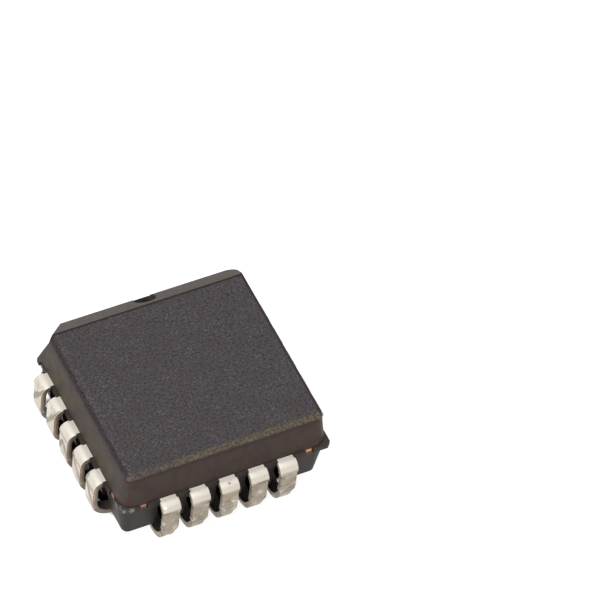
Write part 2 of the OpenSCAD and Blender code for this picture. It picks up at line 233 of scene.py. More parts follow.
class Paint:
    """The node tree of one material, built by calls that read like a recipe."""

    def __init__(self, name: str) -> None:
        """Starts an empty material with its output node."""
        self.material = bpy.data.materials.new(name)
        self.material.use_nodes = True
        self.tree = self.material.node_tree
        self.tree.nodes.clear()
        self.output = self.tree.nodes.new("ShaderNodeOutputMaterial")
        where = self.node("ShaderNodeTexCoord")
        self.place = self.node("ShaderNodeVectorMath", {"operation": "SCALE"},
                               {"Vector": where.outputs["Object"], "Scale": 1 / MM}).outputs[0]
        self.x, self.y, self.z = self.split(self.place)
        self.nx, self.ny, self.nz = self.split(where.outputs["Normal"])

    def node(self, kind: str, settings: dict | None = None,
             values: dict | None = None) -> bpy.types.Node:
        """Adds a node.

        Args:
            kind: The node's type.
            settings: Its properties, set before its inputs; "stops" fills a colour ramp.
            values: A number, colour, socket or Value for each named or numbered input.

        Returns:
            The new node.
        """
        made = self.tree.nodes.new(kind)
        for name, setting in (settings or {}).items():
            if name == "stops":
                self._fill_ramp(made.color_ramp, setting)
            else:
                setattr(made, name, setting)
        for name, value in (values or {}).items():
            socket = made.inputs[name]
            if isinstance(value, Value):
                value = value.socket
            if isinstance(value, bpy.types.NodeSocket):
                self.tree.links.new(value, socket)
            elif isinstance(value, tuple) and len(value) == 3 and socket.type == "RGBA":
                socket.default_value = (*value, 1.0)
            else:
                socket.default_value = value
        return made

    @staticmethod
    def _fill_ramp(ramp: bpy.types.ColorRamp, stops: tuple[tuple[float, Colour], ...]) -> None:
        """Gives a colour ramp its stops."""
        while len(ramp.elements) < len(stops):
            ramp.elements.new(1.0)
        for element, (position, colour) in zip(ramp.elements, stops):
            element.position = position
            element.color = (*colour, 1.0)

    def value(self, kind: str, settings: dict | None = None,
              values: dict | None = None) -> Value:
        """Adds a node and returns its first output as a value."""
        return Value(self, self.node(kind, settings, values).outputs[0])

    def split(self, vector: bpy.types.NodeSocket) -> tuple[Value, Value, Value]:
        """The three parts of a vector."""
        parts = self.node("ShaderNodeSeparateXYZ", None, {0: vector}).outputs
        return Value(self, parts[0]), Value(self, parts[1]), Value(self, parts[2])

    def join(self, x: Value | float, y: Value | float, z: Value | float) -> bpy.types.NodeSocket:
        """A vector made of three numbers."""
        return self.node("ShaderNodeCombineXYZ", None, {0: x, 1: y, 2: z}).outputs[0]

    def cloud(self, grain: float, detail: float = 2.0, rough: float = 0.5,
              at: bpy.types.NodeSocket | None = None) -> Value:
        """Noise between 0 and 1 whose lumps are about grain millimetres across."""
        return self.value("ShaderNodeTexNoise", None, {
            "Vector": at or self.place, "Scale": 1 / grain, "Detail": detail, "Roughness": rough})

    def near(self, point: Point) -> Value:
        """Distance in millimetres from a point given in millimetres."""
        return Value(self, self.node("ShaderNodeVectorMath", {"operation": "DISTANCE"},
                                     {0: self.place, 1: point}).outputs["Value"])

    def reach(self) -> Value:
        """Distance from the package's middle along x or y, whichever is the larger."""
        return abs(self.x).most(abs(self.y))

    def along(self) -> Value:
        """Distance along a side from its middle."""
        return abs(self.x).least(abs(self.y))

    def step(self, level: float, start: float, end: float) -> Value:
        """Smooth step in height, from start to end millimetres above a level."""
        return self.z.rise(level + start, level + end)

    def speckle(self, grain: float) -> Value:
        """Distance from the middles of cells of about grain millimetres."""
        return self.value("ShaderNodeTexVoronoi", None,
                          {"Vector": self.place, "Scale": 1 / grain})

    def blend(self, share: Value | float, under: "Colour | bpy.types.NodeSocket",
              over: "Colour | bpy.types.NodeSocket") -> bpy.types.NodeSocket:
        """One colour over another.

        Args:
            share: How much of the second colour shows.
            under: The first colour.
            over: The second colour.

        Returns:
            The mixed colour.
        """
        mixed = self.node("ShaderNodeMix", {"data_type": "RGBA"}, {0: share, 6: under, 7: over})
        return mixed.outputs[2]

    def tinted(self, colour: bpy.types.NodeSocket, share: Value | float) -> bpy.types.NodeSocket:
        """A colour made lighter or darker by a factor round 1."""
        return self.node("ShaderNodeVectorMath", {"operation": "SCALE"},
                         {0: colour, "Scale": share}).outputs[0]

    def bump(self, height: Value, depth: float,
             over: bpy.types.NodeSocket | None = None) -> bpy.types.NodeSocket:
        """Relief of depth millimetres from a height between 0 and 1, over another relief."""
        values = {"Height": height, "Strength": 1.0, "Distance": depth * MM}
        if over is not None:
            values["Normal"] = over
        return self.node("ShaderNodeBump", None, values).outputs[0]

    def surface(self, **inputs: object) -> bpy.types.Material:
        """Ends the material in a Principled shader.

        Args:
            inputs: The shader's inputs by name, with _ for each space.

        Returns:
            The finished material.
        """
        values = {name.replace("_", " "): value for name, value in inputs.items()}
        shader = self.node("ShaderNodeBsdfPrincipled", None, values)
        self.tree.links.new(shader.outputs[0], self.output.inputs["Surface"])
        return self.material


@dataclass(frozen=True)
class Zones:
    """Where a point of the moulding lies: each value is 1 in its zone and 0 outside it.

    Attributes:
        above: What is above the lead frame.
        crown: The top with its rounded edges.
        top_face: The top without the bevelled edge.
        slope: The bevelled edge.
        under: The underside.
        flat: The top and the underside.
    """

    above: Value
    crown: Value
    top_face: Value
    slope: Value
    under: Value
    flat: Value


@dataclass(frozen=True)
class MouldedEpoxy:
    """Black silica-filled compound: speckled faces, smoother walls and worn edges, with painted
    shade in its hollows and along edges, and painted glints and highlights.

    Sizes are in millimetres. The moulding's half width is taken at its parting line.
    """

    half_width: float
    top: float
    frame_top: float
    floor: float
    face: Colour = ink(72, 68, 67)
    wall: Colour = ink(68, 62, 49)
    wall_patch: Colour = ink(60, 51, 51)
    front_wall: Colour = ink(61, 49, 42)
    front_patch: Colour = ink(54, 44, 43)
    # painted light: a lighter tone for the pin-1 chamfer, which faces away from the lamp
    corner: Colour = ink(124, 114, 115)
    block: Colour = ink(34, 29, 26)
    ledge: Colour = ink(62, 56, 53)
    gate_ledge: Colour = ink(86, 80, 80)
    bevel: Colour = ink(72, 60, 52)
    bevel_patch: Colour = ink(59, 51, 50)
    flange: Colour = ink(43, 38, 37)
    underside: Colour = ink(46, 44, 47)
    # painted shade: near-black for the pockets round the leads and for the underside's groove and
    # disc
    recess: Colour = ink(13, 9, 11)
    # painted shade: dark floor of the notch in the back edge
    notch: Colour = ink(36, 28, 27)
    rim_shadow: Colour = ink(40, 27, 29)
    rubbed: Colour = ink(76, 66, 56)
    golden: Colour = ink(168, 128, 98)
    olive: Colour = ink(116, 108, 82)
    # painted glint colour for the corner of the top
    corner_glint: Colour = ink(122, 98, 100)
    pale_grain_and_glint: Colour = ink(102, 102, 110)
    # painted glints on the ear's rim and on the broken gate
    shine: Colour = ink(150, 152, 152)
    resin: Colour = ink(74, 44, 30)
    grain_casts: tuple[tuple[float, Colour], ...] = (
        (0.0, ink(54, 42, 84)), (0.35, ink(70, 56, 60)),
        (0.6, ink(66, 66, 48)), (1.0, ink(44, 56, 84)))
    upper_draft: float = math.radians(7.5)
    lower_draft: float = math.radians(9)
    edge: float = 0.12
    bevel_run: float = 0.83
    notch_at: float = 0.28
    notch_half: float = 0.5
    notch_back: float = 0.7
    flange_foot: Band = (-0.4, -0.25)
    block_top: Band = (-0.3, -0.4)
    pocket_depth: Band = (0.04, 0.16)
    pocket_end: Band = (3.3, 3.15)
    pocket_mouth: Band = (2.35, 2.7)
    block_rim: Band = (3.9, 4.2)
    gate_ledge_from: Band = (6.6, 7.0)
    gate_break: Band = (5.66, 5.72)
    gate_height: Band = (-0.15, -0.2)
    worn_corner: tuple[float, float] = (-4.02, -4.02)
    ear_glints: Band = (0.47, 0.62)
    ear_end: Band = (0.12, 0.0)
    ring: float = 1.6
    groove_half: float = 0.07
    disc: float = 0.95
    tick_top: Band = (0.046, 0.038)

    @property
    def half_top(self) -> float:
        """Half the width of the top."""
        return self.half_width - (self.top - self.frame_top) * math.tan(self.upper_draft)

    def build(self) -> bpy.types.Material:
        """The finished material."""
        paint = Paint("moulding_compound")
        zones = self._zones(paint)
        colour = self._walls(paint, zones)
        colour = self._faces(paint, colour, zones)
        colour = self._grain(paint, colour, zones)
        colour = self._front_rim(paint, colour, zones)
        colour = self._other_rims(paint, colour, zones)
        colour = self._glints(paint, colour)
        colour = self._underside(paint, colour, zones)
        return self._finish(paint, colour, zones)

    def _zones(self, paint: Paint) -> Zones:
        """Finds the zones from a point's place and the way its face looks."""
        above = paint.step(self.frame_top, 0.0, 0.06)
        crown = paint.z.rise(self.top - self.edge * 1.6, self.top - self.edge * 0.5)
        before_bevel = (self.half_top - self.bevel_run - 0.02) - paint.y
        top_face = crown * before_bevel.rise(0.0, 0.03)
        slope = above * paint.nz.within(0.55, 0.85, 0.05) * before_bevel.rise(0.02, -0.02)
        under = paint.nz.rise(-0.9, -0.97) * paint.step(self.floor, 0.3, 0.1)
        return Zones(above, crown, top_face, slope, under, flat=top_face.most(under))

    def _walls(self, paint: Paint, zones: Zones) -> bpy.types.NodeSocket:
        """The plain colour of the walls and the flange, with painted light on the pin-1 chamfer and
        painted shade in the pockets round the leads.

        Args:
            paint: The material that is built.
            zones: The moulding's zones.

        Returns:
            The colour.
        """
        patches = paint.cloud(0.7, 3.0, 0.6)
        walls = paint.blend(patches.rise(0.35, 0.65), self.wall, self.wall_patch)
        dim = (paint.z + (patches - 0.5) * 0.5).rise(self.top - 0.9, self.top - 0.2)
        walls = paint.blend(dim * 0.55, walls, self.wall_patch)
        front = paint.ny.rise(-0.6, -0.85)
        walls = paint.blend(front * 0.95, walls, paint.blend(
            patches.rise(0.45, 0.65), self.front_wall, self.front_patch))
        # painted light on the pin-1 chamfer
        chamfer = paint.nx.rise(-0.3, -0.55) * paint.ny.rise(0.3, 0.55)
        walls = paint.blend(chamfer, walls, self.corner)
        block = paint.step(self.frame_top, *self.block_top)
        walls = paint.blend(block * 0.8, walls, self.block)
        below = 1.0 - zones.above
        flange = below * paint.step(self.frame_top, *self.flange_foot)
        colour = paint.blend(flange * 0.8, walls, self.flange)
        gate = (paint.y - paint.x).rise(*self.gate_ledge_from)
        level = flange * paint.nz.rise(0.7, 0.9)
        colour = paint.blend(level, colour, paint.blend(gate, self.ledge, self.gate_ledge))
        wall_at = self.half_width - (self.frame_top - paint.z) * math.tan(self.lower_draft)
        sunk = (wall_at - paint.reach()).rise(*self.pocket_depth) * below * (1.0 - zones.under)
        # painted shade: the pockets round the leads go near-black
        return paint.blend(sunk * paint.along().rise(*self.pocket_end), colour, self.recess)

    def _faces(self, paint: Paint, colour: bpy.types.NodeSocket,
               zones: Zones) -> bpy.types.NodeSocket:
        """The plain colour of the bevelled edge, the underside and the top, with painted shade on
        the notch's floor.

        Args:
            paint: The material that is built.
            colour: The colour so far.
            zones: The moulding's zones.

        Returns:
            The colour with these faces.
        """
        back = paint.y.rise(self.half_width - self.bevel_run, self.half_width - self.notch_back)
        notch = zones.above * back * (1.0 - zones.slope) * paint.step(self.top, -0.05, -0.15)
        from_notch = paint.x - self.notch_at
        notch = notch * paint.ny.rise(0.6, 0.4)
        notch = notch * from_notch.within(-self.notch_half, self.notch_half, 0.02)
        patches = paint.cloud(0.3, 3.0, 0.65).rise(0.4, 0.66)
        bevel = paint.blend(patches, self.bevel, self.bevel_patch)
        colour = paint.blend(zones.slope, colour, bevel)
        lit_end = from_notch.rise(0.12, self.notch_half)
        # painted shade on the notch's floor, lighter towards its lit end
        colour = paint.blend(notch, colour, paint.blend(lit_end, self.notch, self.bevel))
        colour = paint.blend(zones.under, colour, self.underside)
        return paint.blend(zones.top_face, colour, self.face)

    def _grain(self, paint: Paint, colour: bpy.types.NodeSocket,
               zones: Zones) -> bpy.types.NodeSocket:
        """Filler grains: strong on the flat faces, faint on the polished walls.

        Args:
            paint: The material that is built.
            colour: The colour so far.
            zones: The moulding's zones.

        Returns:
            The colour with its grain.
        """
        cast = paint.node("ShaderNodeValToRGB", {"stops": self.grain_casts},
                          {"Fac": paint.cloud(0.1, 1.0).rise(0.25, 0.75)}).outputs[0]
        colour = paint.blend(zones.flat * 0.4, colour, cast)
        mottle = paint.cloud(0.1, 3.0, 0.7) - 0.5
        patches = paint.cloud(0.5, 3.0, 0.6) - 0.5
        grains = mottle * (0.6 + 1.9 * zones.flat + 0.5 * zones.slope) + patches * 0.25
        colour = paint.tinted(colour, 1.0 + grains)
        bright = paint.cloud(0.07, 0.0).rise(0.64, 0.74) * paint.cloud(0.6, 1.0).rise(0.3, 0.7)
        return paint.blend(bright * zones.flat * 0.75, colour, self.pale_grain_and_glint)

    def _front_rim(self, paint: Paint, colour: bpy.types.NodeSocket,
                   zones: Zones) -> bpy.types.NodeSocket:
        """The rubbed front edge of the top, with golden specks and a shadow below them.

        Args:
            paint: The material that is built.
            colour: The colour so far.
            zones: The moulding's zones.

        Returns:
            The colour with its front edge.
        """
        inwards = paint.y + self.half_top
        strip = (inwards + self._ragged(paint) * 0.7).within(0.03, 0.18, 0.1) * zones.crown
        strip = strip * (paint.cloud(0.35, 3.0, 0.7).rise(0.3, 0.55) * 0.6 + 0.4)
        strip = strip * (paint.x.rise(-4.6, -0.5) * 0.5 + 0.5)
        rubs_and_glints = paint.blend(paint.cloud(0.1, 3.0, 0.8).rise(0.44, 0.66), self.rubbed, paint.blend(
            paint.cloud(0.1, 2.0, 0.7).rise(0.42, 0.54), self.golden, self.olive))
        colour = paint.blend(strip * 0.85, colour, rubs_and_glints)
        shade = inwards.within(-0.16, -0.03, 0.04) * paint.step(self.top, -0.34, -0.16)
        return paint.blend(shade * 0.7, colour, self.rim_shadow)

    def _other_rims(self, paint: Paint, colour: bpy.types.NodeSocket,
                    zones: Zones) -> bpy.types.NodeSocket:
        """Painted shade along the ragged edges of the top on the left, on the right and at the
        bevel, with painted highlight specks near the left edge.

        Args:
            paint: The material that is built.
            colour: The colour so far.
            zones: The moulding's zones.

        Returns:
            The colour with these edges.
        """
        ragged = self._ragged(paint)
        inwards = paint.x + self.half_top
        soft = (inwards + ragged * 1.2).within(0.0, 0.1, 0.12) * paint.step(self.top, -0.4, -0.12)
        colour = paint.blend(soft * 0.55, colour, self.rim_shadow)
        # painted highlight: pale specks along the left edge of the top
        flakes = (inwards + ragged).within(0.22, 0.34, 0.1) * zones.top_face
        flakes = flakes * paint.cloud(0.08, 1.0).rise(0.56, 0.7)
        colour = paint.blend(flakes * 0.7, colour, self.pale_grain_and_glint)
        right = (self.half_top - paint.x).within(-0.02, 0.1, 0.06) * zones.crown
        colour = paint.blend(right * 0.6, colour, self.rim_shadow)
        to_bevel = self.half_top - self.bevel_run - paint.y
        back = (to_bevel + ragged * 0.3).within(-0.01, 0.06, 0.06) * zones.crown
        return paint.blend(back * 0.7, colour, self.rim_shadow)

    @staticmethod
    def _ragged(paint: Paint) -> Value:
        """A small shift, in millimetres, that makes an edge ragged."""
        return (paint.cloud(0.14, 3.0, 0.7) - 0.5) * 0.2

    def _glints(self, paint: Paint, colour: bpy.types.NodeSocket) -> bpy.types.NodeSocket:
        """Painted glints along the rim of the worn ear and on the corner of the top above it.

        Args:
            paint: The material that is built.
            colour: The colour so far.

        Returns:
            The colour with its rubs.
        """
        # painted glints along the rim of the front-left ear
        east, north = paint.x - self.worn_corner[0], paint.y - self.worn_corner[1]
        ear = (east * east + north * north).root().within(*self.ear_glints, 0.04)
        ear = ear * east.rise(*self.ear_end) * north.rise(*self.ear_end)
        ear = ear * paint.z.within(self.frame_top - 0.28, self.frame_top, 0.06)
        rubs_and_glints = paint.cloud(0.14, 1.0, 0.5).rise(0.5, 0.6)
        colour = paint.blend(ear * (0.08 + 0.42 * rubs_and_glints), colour, self.shine)
        # painted glint on the front-left corner of the top
        tip_at = 0.09 - self.half_top
        east, north = paint.x - tip_at, paint.y - tip_at
        tip = (east * east + north * north).root().rise(0.12, 0.03)
        tip = tip * paint.step(self.top, -0.2, -0.1)
        return paint.blend(tip * 0.55, colour, self.corner_glint)

    def _underside(self, paint: Paint, colour: bpy.types.NodeSocket,
                   zones: Zones) -> bpy.types.NodeSocket:
        """Painted shade in the moulded circle's groove and disc, resin stains there and round the
        pockets, a painted glint on the broken gate and a painted highlight on the block's lower
        rim.

        Args:
            paint: The material that is built.
            colour: The colour so far.
            zones: The moulding's zones.

        Returns:
            The colour with its stains.
        """
        away = (paint.x * paint.x + paint.y * paint.y).root()
        patchy = paint.cloud(0.5, 3.0, 0.6).rise(0.45, 0.7)
        low = paint.step(self.floor, 0.4, 0.2)
        groove = away.within(self.ring - self.groove_half, self.ring + self.groove_half, 0.03) * low
        # painted shade darkens the groove here and the shallow disc below
        colour = paint.blend(groove * 0.6, colour, self.recess)
        colour = paint.blend(groove * patchy * 0.7, colour, self.resin)
        disc = away.rise(self.disc + 0.02, self.disc - 0.04) * low
        colour = paint.blend(disc * 0.45, colour, self.recess)
        ticks = away.rise(self.disc, self.disc - 0.02) * paint.step(self.floor, *self.tick_top)
        colour = paint.blend(ticks * low * 0.55, colour, self.pale_grain_and_glint)
        # painted glint along the broken gate scar
        broken = ((paint.y - paint.x) / math.sqrt(2)).rise(*self.gate_break)
        broken = broken * paint.step(self.frame_top, *self.gate_height)
        colour = paint.blend(broken * (0.25 + 0.5 * patchy), colour, self.shine)
        reach = paint.reach()
        mouths = reach.within(*self.pocket_mouth, 0.15) * zones.under * patchy
        colour = paint.blend(mouths * 0.45, colour, self.resin)
        # painted highlight along the sloped lower rim of the block
        rim = reach.within(*self.block_rim, 0.06) * paint.nz.within(-0.9, -0.3, 0.05)
        return paint.blend(rim * low * 0.25, colour, self.pale_grain_and_glint)

    def _finish(self, paint: Paint, colour: bpy.types.NodeSocket,
                zones: Zones) -> bpy.types.Material:
        """Relief and sheen of the compound.

        Args:
            paint: The material that is built.
            colour: Its colour.
            zones: The moulding's zones.

        Returns:
            The material.
        """
        swell = paint.cloud(0.16, 3.0, 0.6)
        relief = paint.bump((1.0 - paint.speckle(0.05)) * (0.15 + zones.flat), 0.004)
        relief = paint.bump(swell * (0.12 + zones.flat), 0.014, relief)
        rough = 0.5 + 0.16 * zones.flat + (swell - 0.5) * 0.1
        return paint.surface(Base_Color=colour, Roughness=rough, Specular_IOR_Level=0.12,
                             Normal=relief)


@dataclass(frozen=True)
class TinPlate:
    """Satin tin over formed copper: painted light on faces that look up, another tone below the
    neck, and painted shade in creases and on faces turned from the lamp.

    Heights and places are in millimetres.
    """

    lit_cream: Colour = ink(228, 222, 211)
    bend: Colour = ink(202, 195, 182)
    shank: Colour = ink(160, 149, 133)
    low_tone: Colour = ink(150, 138, 121)
    side_low_tone: Colour = ink(206, 196, 183)
    # dark colour for real marks and for painted shade
    marks_and_shade: Colour = ink(82, 70, 58)
    bend_shade: Colour = ink(112, 102, 94)
    cut: Colour = ink(150, 130, 110)
    cut_side_shade: Colour = ink(62, 52, 46)
    # painted shade for the inner faces of the leads
    inside: Colour = ink(26, 18, 18)
    bright: Colour = ink(255, 253, 248)
    pit: Colour = ink(138, 130, 122)
    neck: float = 2.58
    bend_shade_at: float = 2.1
    core: Band = (4.93, 4.84)
    shaded_from: Band = (1.5, 0.7)
    inner_from: Band = (2.75, 2.6)
    turn_from: Band = (1.5, 1.1)
    bead_glint_at: Point = (-2.806, -4.899, 2.772)
    pit_at: Point = (-0.006, -4.783, 2.854)
    spot: float = 0.075

    def build(self) -> bpy.types.Material:
        """The finished material."""
        paint = Paint("tin_plating")
        side_row = (abs(paint.x) - abs(paint.y)).rise(-0.03, 0.03)
        end_row = 1.0 - side_row
        along = paint.along()
        lane = along - (along / PITCH).nearest() * PITCH
        facing = side_row * paint.nx * paint.x.sign() + end_row * paint.ny * paint.y.sign()
        across = side_row * abs(paint.ny) + end_row * abs(paint.nx)
        lot = paint.value("ShaderNodeTexWhiteNoise", {"noise_dimensions": "3D"}, {
            "Vector": paint.join((paint.x / PITCH).nearest(), (paint.y / PITCH).nearest(), 0.0)})

        colour, low, creases = self._faces(paint, side_row, lane, lot)
        colour = self._cut_sides(paint, colour, side_row, across)
        colour = self._inner(paint, colour, facing)
        colour = self._marks(paint, colour)
        blotch = paint.cloud(0.35, 3.0, 0.6)
        relief = paint.bump(creases, 0.01)
        relief = paint.bump(blotch, 0.02, relief)
        rough = 0.42 + low * 0.12 + (blotch - 0.5) * 0.2
        return paint.surface(Base_Color=colour, Metallic=0.2, Roughness=rough, Normal=relief)

    def _faces(self, paint: Paint, side_row: Value, lane: Value,
               lot: Value) -> tuple[bpy.types.NodeSocket, Value, Value]:
        """Painted light and shade: lighter on faces that look up, darker on those that look
        sideways, another tone below the neck, painted highlight patches, and painted shade in
        creases, in a slanted band and on sides away from the lamp.

        Args:
            paint: The material that is built.
            side_row: 1 on the leads of the left and right sides.
            lane: Place across a lead, from its middle.
            lot: A random number for each lead.

        Returns:
            The colour, how far a point is below the neck, and the creases there.
        """
        flow = paint.join(lot * 9.0, lane * 1.3, paint.z * 5.5)
        creases = paint.cloud(0.8, 3.0, 0.65, flow)
        drawn = paint.cloud(0.5, 2.0, 0.6, paint.join(lot * 9.0, lane * 9.0, paint.z * 1.2))
        blotch = paint.cloud(0.42, 3.0, 0.65)
        level = self.neck + (lot - 0.5) * 0.5 + (creases - 0.5) * 0.25
        low = (level - paint.z).rise(-0.03, 0.1)
        # painted light: faces that look up are lighter, faces that look sideways darker
        colour = paint.blend(paint.nz.rise(-0.05, 0.4), self.shank, self.bend)
        colour = paint.blend(paint.nz.rise(0.55, 0.97), colour, self.lit_cream)
        # a tone of its own below the neck, lighter in the side rows
        colour = paint.blend(low * 0.85, colour, paint.blend(side_row, self.low_tone,
                                                            self.side_low_tone))
        plain = 1.0 - side_row * 0.75
        # painted shade: a dark line at the neck
        line = (level - paint.z).within(-0.02, 0.04, 0.05) * creases.rise(0.4, 0.65) * plain
        colour = paint.blend(line * 0.75, colour, self.marks_and_shade)
        # painted shade in the creases below the neck
        folds = creases.rise(0.47, 0.7) * low * plain
        colour = paint.blend(folds * 0.75, colour, self.marks_and_shade)
        lines = drawn.rise(0.54, 0.66) * low
        colour = paint.blend(lines * 0.3, colour, self.marks_and_shade)
        # painted highlight patches below the neck
        gleam = blotch.rise(0.52, 0.75) * low
        colour = paint.blend(gleam * 0.5, colour, self.lit_cream)
        # painted shade: a slanted band below the shoulder bend on the side rows
        slant = paint.z - self.bend_shade_at + lane * 1.4 + (blotch - 0.5) * 0.7
        bend_shade = slant.within(-0.1, 0.16, 0.12) * side_row
        colour = paint.blend(bend_shade * 0.75, colour, self.bend_shade)
        colour = paint.tinted(colour, 1.0 + (blotch - 0.5) * (0.08 + 0.45 * low))
        # painted shade on the side faces away from the lamp
        lee = (paint.nx.rise(0.2, 0.6) * (1.0 - side_row)).most(
            paint.ny.rise(0.2, 0.6) * side_row)
        colour = paint.blend(lee * 0.6, colour, self.marks_and_shade)
        return colour, low, creases

    def _cut_sides(self, paint: Paint, colour: bpy.types.NodeSocket, side_row: Value,
                   across: Value) -> bpy.types.NodeSocket:
        """Stamped side faces: torn in the side rows, with painted shade further in and lower down
        and a painted highlight on their front edges; plated in the others.

        Args:
            paint: The material that is built.
            colour: The colour so far.
            side_row: 1 on the leads of the left and right sides.
            across: How far a face looks along its side of the package.

        Returns:
            The colour with its side faces.
        """
        # painted highlight on the rounded front edges of the side rows
        rim = side_row * paint.ny.within(-0.85, -0.3, 0.1)
        colour = paint.blend(rim * 0.6, colour, self.lit_cream)
        # cut-edge colour, darker partly as painted shade from the neighbouring leads
        torn = side_row * across.rise(0.85, 0.97)
        deep = (abs(paint.x) + (paint.cloud(0.1, 2.0) - 0.5) * 0.1).rise(*self.core)
        colour = paint.blend(torn * 0.8, colour, self.cut)
        # painted shade further in between the leads and on the lower part
        colour = paint.blend(torn * deep * 0.45, colour, self.cut_side_shade)
        shaded = torn * paint.z.rise(*self.shaded_from)
        return paint.blend(shaded * 0.35, colour, self.cut_side_shade)

    def _inner(self, paint: Paint, colour: bpy.types.NodeSocket,
               facing: Value) -> bpy.types.NodeSocket:
        """Inner faces, painted dark as shade.

        Args:
            paint: The material that is built.
            colour: The colour so far.
            facing: How far a face looks away from the package.

        Returns:
            The colour with its inner faces.
        """
        # painted shade on the inner faces and the inner turn of the J
        back = facing.rise(-0.1, -0.4) * paint.z.rise(*self.inner_from)
        turn = paint.nz.rise(0.15, 0.5) * paint.z.rise(*self.turn_from)
        return paint.blend(back.most(turn) * 0.85, colour, self.inside)

    def _marks(self, paint: Paint, colour: bpy.types.NodeSocket) -> bpy.types.NodeSocket:
        """A painted glint standing for a solder bead on one lead, a pit on another, and scattered
        small pits.

        Args:
            paint: The material that is built.
            colour: The colour so far.

        Returns:
            The colour with its marks.
        """
        pits = paint.cloud(0.11, 1.0).rise(0.7, 0.78)
        colour = paint.blend(pits * 0.45, colour, self.marks_and_shade)
        # painted glint standing for a small solder bead on one lead
        bead = paint.near(self.bead_glint_at).rise(self.spot, self.spot * 0.6)
        colour = paint.blend(bead, colour, self.bright)
        pit = paint.near(self.pit_at).rise(self.spot, self.spot * 0.5)
        return paint.blend(pit * 0.8, colour, self.pit)


@dataclass(frozen=True)
class RolledCopper:
    """Bare rolled copper alloy: tan where a cut is fresh, dark brown below that.

    Attributes:
        low: Height of the metal's underside in millimetres.
        cut_at: Height above low where the fresh part of a cut starts.
    """

    low: float
    fresh: Colour = ink(158, 104, 84)
    orange: Colour = ink(214, 138, 84)
    aged: Colour = ink(46, 26, 24)
    cut_at: float = 0.13
    outside: Band = (4.3, 4.4)

    def build(self) -> bpy.types.Material:
        """The finished material."""
        paint = Paint("bare_copper")
        drawn = paint.cloud(0.08, 2.0, 0.6, paint.join(paint.x, paint.y, paint.z * 4.0))
        right_front = paint.x.rise(2.0, 3.0) * paint.y.rise(-3.0, -4.0)
        colour = paint.blend(right_front, self.fresh, self.orange)
        outside = paint.reach().rise(*self.outside)
        cut = self.low + self.cut_at
        torn = (paint.z + (drawn - 0.5) * 0.12).rise(cut + 0.02, cut - 0.02)
        pin_1 = paint.x.rise(-2.0, -3.0) * paint.y.rise(2.0, 3.0)
        colour = paint.blend(torn.most(pin_1) * outside, colour, self.aged)
        colour = paint.blend(drawn.rise(0.55, 0.8) * 0.5, colour, self.aged)
        relief = paint.bump(drawn, 0.004)
        return paint.surface(Base_Color=colour, Metallic=0.3, Roughness=0.4 + drawn * 0.2,
                             Normal=relief)


@dataclass(frozen=True)
class SilverGlue:
    """Cured epoxy full of silver flakes."""

    flake: Colour = ink(190, 190, 192)
    glue: Colour = ink(120, 120, 126)

    def build(self) -> bpy.types.Material:
        """The finished material."""
        paint = Paint("silver_glue")
        colour = paint.blend(paint.speckle(0.02), self.flake, self.glue)
        relief = paint.bump(paint.cloud(0.05, 2.0), 0.004)
        return paint.surface(Base_Color=colour, Metallic=0.5, Roughness=0.55, Normal=relief)


@dataclass(frozen=True)
class DriverSilicon:
    """Polished silicon: a ring of aluminium pads round rows of circuit blocks on its face."""

    length: float
    width: float
    face_level: float
    field_oxide: Colour = ink(70, 86, 104)
    sawn: Colour = ink(92, 96, 104)
    circuits: tuple[Colour, Colour] = (ink(96, 74, 120), ink(60, 110, 112))
    street: Colour = ink(40, 40, 60)
    aluminium: Colour = ink(176, 178, 184)
    pad: float = 0.1
    pad_row: float = 0.14
    core_from: Band = (0.24, 0.26)
    block_size: tuple[float, float] = (0.33, 0.12)
    street_width: float = 0.012

    def build(self) -> bpy.types.Material:
        """The finished material."""
        paint = Paint("silicon")
        face = paint.z.rise(self.face_level - 0.01, self.face_level - 0.005)
        edge_x = self.length / 2 - abs(paint.x)
        edge_y = self.width / 2 - abs(paint.y)
        ring = edge_x.least(edge_y)
        core = ring.rise(*self.core_from) * face
        blocks = paint.node("ShaderNodeTexBrick", {"offset": 0.5}, {
            "Vector": paint.place, "Scale": 1.0, "Mortar Size": self.street_width,
            "Brick Width": self.block_size[0], "Row Height": self.block_size[1],
            "Color1": self.circuits[0], "Color2": self.circuits[1], "Mortar": self.street})
        colour = paint.blend(face, self.sawn, self.field_oxide)
        colour = paint.blend(core, colour, blocks.outputs["Color"])
        row = ring.within(self.pad_row - self.pad / 2, self.pad_row + self.pad / 2, 0.002)
        colour = paint.blend(row * face * 0.6, colour, self.aluminium)
        relief = paint.bump(Value(paint, blocks.outputs["Fac"]), 0.001)
        return paint.surface(Base_Color=colour, Metallic=0.6, Roughness=0.2, Normal=relief)


@dataclass(frozen=True)
class DrawnGold:
    """Bright drawn gold with faint die marks."""

    gold: Colour = ink(255, 214, 120)
    mark: Colour = ink(232, 178, 80)

    def build(self) -> bpy.types.Material:
        """The finished material."""
        paint = Paint("gold_wire")
        marks = paint.cloud(0.02, 2.0)
        colour = paint.blend(marks, self.gold, self.mark)
        return paint.surface(Base_Color=colour, Metallic=1.0, Roughness=0.18 + marks * 0.1,
                             Normal=paint.bump(marks, 0.001))


